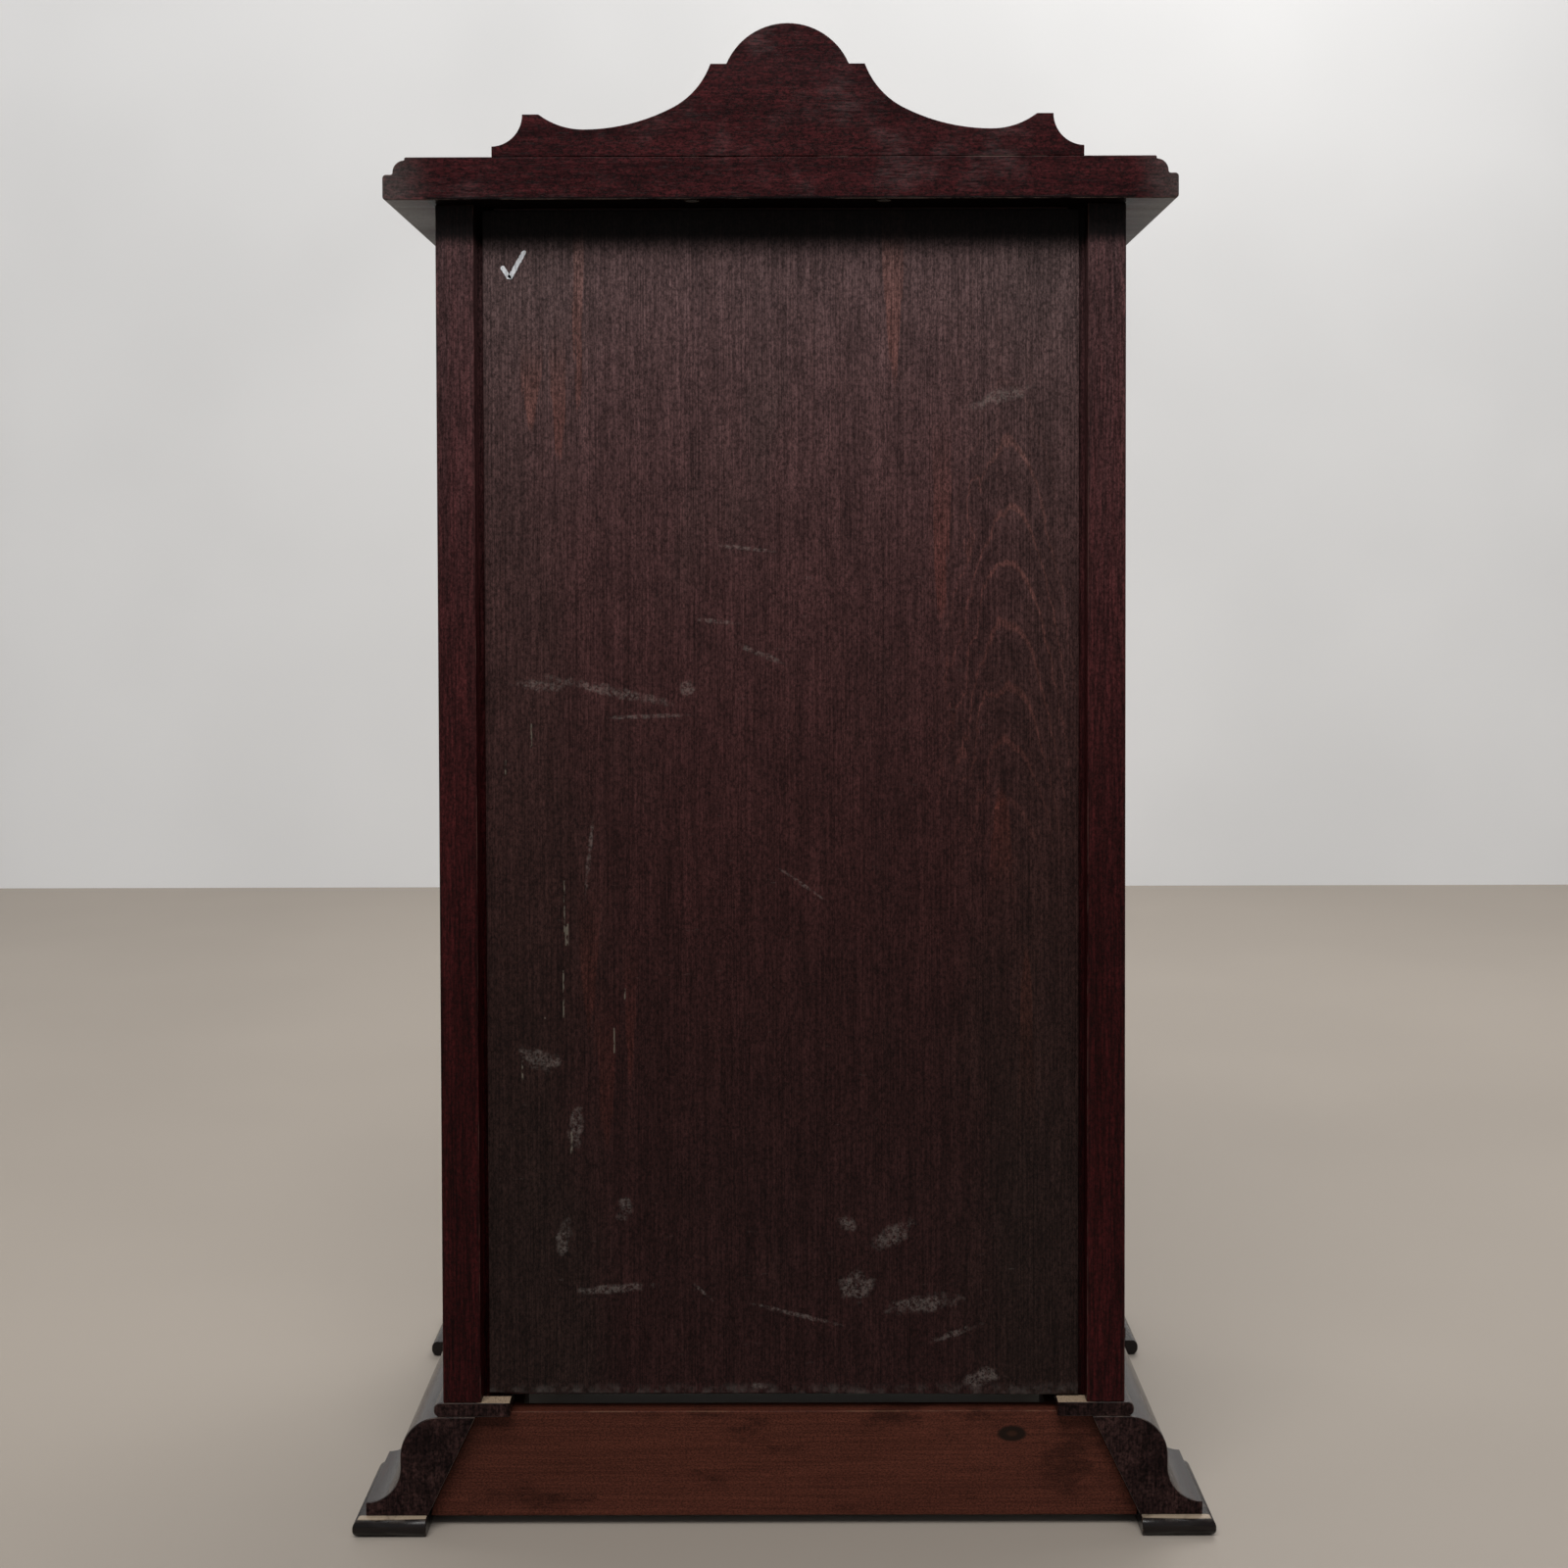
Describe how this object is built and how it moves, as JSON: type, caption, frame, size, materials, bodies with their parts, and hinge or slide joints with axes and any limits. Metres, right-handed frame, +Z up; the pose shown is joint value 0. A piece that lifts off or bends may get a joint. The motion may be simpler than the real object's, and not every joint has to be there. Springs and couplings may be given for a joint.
{
  "type": "curio cabinet",
  "caption": "Small glazed display cabinet with a moulded top, shaped crest, ogee bracket plinth on foot pads, shelves on pins and a locking hinged door.",
  "frame": {"origin": "on the floor, below the middle of the overall width and depth", "axes": "+Z up, the glazed door faces -Y, +X to the right of someone facing the door"},
  "size_m": [0.4786, 0.3434, 0.8272],
  "materials": {
    "mahogany": "dark red mahogany, worn satin polish",
    "top_mahogany": "dark red mahogany, grain along its length",
    "plinth_mahogany": "very dark polished mahogany, rough end grain at the back",
    "ebonised_wood": "near black gloss, worn edges",
    "stained_pine": "red-brown stain over pine, unpolished",
    "stained_ply": "dark stain over thin ply, scuffed",
    "glass": "clear",
    "brass": "aged brass",
    "steel": "dull steel"
  },
  "bodies": {
    "case": {"foot_pad_front_left": "ebonised_wood", "foot_pad_front_right": "ebonised_wood", "foot_pad_rear_left": "ebonised_wood", "foot_pad_rear_right": "ebonised_wood", "plinth_front": "plinth_mahogany", "plinth_side_left": "plinth_mahogany", "plinth_side_right": "plinth_mahogany", "plinth_back_board": "stained_pine", "plinth_corner_blocks": "stained_pine", "waist_strip_front": "plinth_mahogany", "waist_strip_left": "plinth_mahogany", "waist_strip_right": "plinth_mahogany", "bottom_board": "mahogany", "rear_post_left": "mahogany", "rear_post_right": "mahogany", "front_post_left": "mahogany", "front_post_right": "mahogany", "side_top_rail_left": "mahogany", "side_top_rail_right": "mahogany", "side_bottom_rail_left": "mahogany", "side_bottom_rail_right": "mahogany", "side_glass_left": "glass", "side_glass_right": "glass", "side_glazing_beads_left": "mahogany", "side_glazing_beads_right": "mahogany", "front_top_rail": "mahogany", "rear_top_rail": "mahogany", "back_panel": "stained_ply", "back_panel_pins": "steel", "top_board": "top_mahogany", "top_screws": "steel", "crest": "top_mahogany", "crest_screws": "steel", "shelf_lower": "mahogany", "shelf_middle": "mahogany", "shelf_upper": "mahogany", "shelf_pins": "brass", "door_stop": "mahogany", "hinge_upper_case_leaf": "brass", "hinge_lower_case_leaf": "brass", "hinge_pins": "brass", "hinge_screws_case": "brass", "strike_plate": "brass"},
    "door": {"door_hinge_stile": "mahogany", "door_lock_stile": "mahogany", "door_top_rail": "mahogany", "door_bottom_rail": "mahogany", "door_glass": "glass", "door_glazing_beads": "mahogany", "hinge_upper_door_leaf": "brass", "hinge_lower_door_leaf": "brass", "hinge_screws_door": "brass", "lock_case": "steel", "escutcheon": "brass"},
    "key": {"key": "brass"},
    "bolt": {"lock_bolt": "brass"}
  },
  "joints": [
    {"name": "door_swing", "type": "hinge", "parent": "case", "child": "door", "pos_m": [-0.15775, -0.12545, 0.3955], "axis": [0, 0, -1], "range_deg": [0, 170]},
    {"name": "key_turn", "type": "hinge", "parent": "door", "child": "key", "pos_m": [0.146, -0.12225, 0.4075], "axis": [0, 1, 0], "range_deg": [0, 270]},
    {"name": "bolt_slide", "type": "slide", "parent": "door", "child": "bolt", "axis": [1, 0, 0], "range_m": [0, 0.007]}
  ],
  "couplings": [
    {"joint": "key_turn", "follows": "bolt_slide", "rad_per_m": 673.19}
  ]
}
